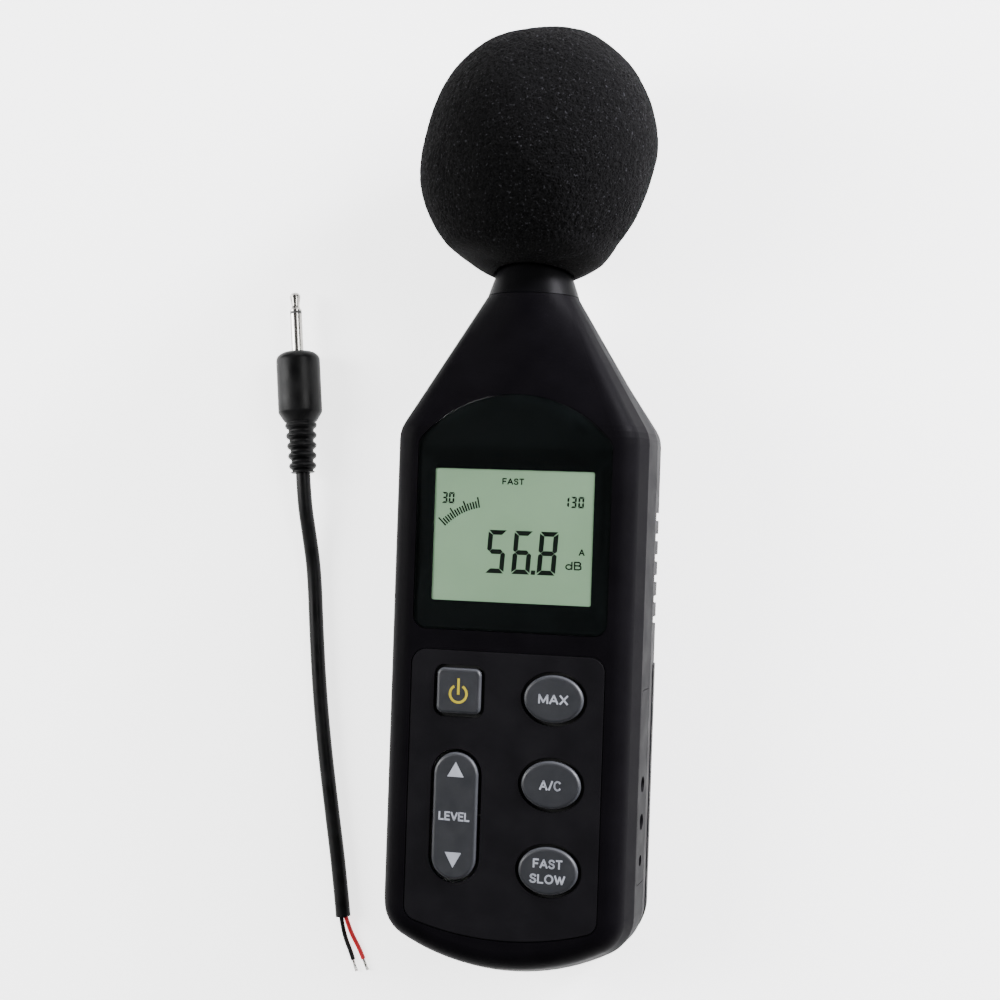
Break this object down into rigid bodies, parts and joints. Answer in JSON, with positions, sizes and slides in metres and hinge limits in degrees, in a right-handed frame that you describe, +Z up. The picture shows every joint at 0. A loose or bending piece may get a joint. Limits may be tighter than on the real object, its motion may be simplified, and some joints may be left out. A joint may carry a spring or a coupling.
{
  "type": "sound level meter",
  "caption": "Hand-held sound level meter with foam windscreen ball, display, keypad, side output jacks and a loose plug lead.",
  "frame": {"origin": "on the table under the middle of the meter as it lies on its back, without its lead", "axes": "+Z up from the table, +Y along the meter towards the microphone, +X towards the side with the output jacks"},
  "size_m": [0.1179, 0.2673, 0.0652],
  "materials": {
    "casing": "fine satin",
    "keypad_plate": "satin",
    "window": "clear gloss",
    "mask": "gloss black print",
    "key": "soft translucent",
    "silicone": "matte",
    "steel": "plated",
    "lcd": "satin",
    "inner_plastic": "matte",
    "board": "solder mask",
    "chip": "matte",
    "capacitor": "satin",
    "trimmer": "gloss",
    "brass": "turned",
    "cell": "gloss sleeve",
    "red_wire": "satin",
    "black_wire": "satin",
    "screw": "blackened",
    "collar": "satin gloss",
    "mic_metal": "satin",
    "foam": "open-cell foam",
    "nickel": "bright",
    "cord_rubber": "satin",
    "tinned": "bright"
  },
  "bodies": {
    "casing": {"front_shell": "casing", "rear_shell": "casing", "jack_panel": "casing", "keypad_plate": "keypad_plate", "display_window": "window", "window_mask": "mask", "keypad_mat": "silicone", "switch_domes": "steel", "lcd_glass": "lcd", "lcd_holder": "inner_plastic", "contact_strips": "silicone", "main_board": "board", "circuit_chips": "chip", "capacitors": "capacitor", "trimmer_body": "trimmer", "upper_jack": "inner_plastic", "lower_jack": "inner_plastic", "aa_cell_1": "cell", "aa_cell_2": "cell", "aa_cell_3": "cell", "aa_cell_4": "cell", "battery_springs": "steel", "lower_contacts": "steel", "upper_contacts": "steel", "battery_wire_red": "red_wire", "battery_wire_black": "black_wire", "shell_screws": "screw", "board_screws": "screw", "tripod_nut": "brass", "mic_collar": "collar", "mic_tube": "mic_metal", "mic_insulator": "inner_plastic", "mic_capsule": "mic_metal", "mic_grille": "mic_metal", "mic_cable": "black_wire"},
    "power_key": {"power_key": "key"},
    "max_key": {"max_key": "key"},
    "weighting_key": {"weighting_key": "key"},
    "response_key": {"response_key": "key"},
    "level_rocker": {"level_rocker": "key"},
    "battery_cover": {"battery_cover": "casing"},
    "windscreen": {"windscreen": "foam"},
    "trimmer_rotor": {"trimmer_rotor": "brass"},
    "output_lead": {"plug_tip": "nickel", "plug_ring": "inner_plastic", "plug_sleeve": "nickel", "plug_body": "cord_rubber", "lead_jacket": "cord_rubber", "black_core": "black_wire", "red_core": "red_wire", "black_bare_end": "tinned", "red_bare_end": "tinned"}
  },
  "joints": [
    {"name": "power_press", "type": "slide", "parent": "casing", "child": "power_key", "axis": [0, 0.0694, -0.9976], "range_m": [0, 0.0008], "stiffness_N_per_m": 1200},
    {"name": "max_press", "type": "slide", "parent": "casing", "child": "max_key", "axis": [0, 0.0694, -0.9976], "range_m": [0, 0.0008], "stiffness_N_per_m": 1200},
    {"name": "weighting_press", "type": "slide", "parent": "casing", "child": "weighting_key", "axis": [0, 0.0694, -0.9976], "range_m": [0, 0.0008], "stiffness_N_per_m": 1200},
    {"name": "response_press", "type": "slide", "parent": "casing", "child": "response_key", "axis": [0, 0.0694, -0.9976], "range_m": [0, 0.0008], "stiffness_N_per_m": 1200},
    {"name": "level_rock", "type": "hinge", "parent": "casing", "child": "level_rocker", "pos_m": [-0.0129, -0.08677, 0.03557], "axis": [1, 0, 0], "range_deg": [-3, 3], "stiffness_Nm_per_rad": 0.3},
    {"name": "cover_slide", "type": "slide", "parent": "casing", "child": "battery_cover", "axis": [0, -0.9976, -0.0694], "range_m": [0, 0.09]},
    {"name": "windscreen_pull", "type": "slide", "parent": "casing", "child": "windscreen", "axis": [0, 0.9976, 0.0694], "range_m": [0, 0.08]},
    {"name": "trimmer_turn", "type": "hinge", "parent": "casing", "child": "trimmer_rotor", "pos_m": [0.0294, -0.09684, 0.02179], "axis": [1, 0, 0], "range_deg": [-105, 105]},
    {"name": "lead_lift", "type": "slide", "parent": "casing", "child": "output_lead", "axis": [0, 0, 1], "range_m": [0, 0.1]}
  ]
}
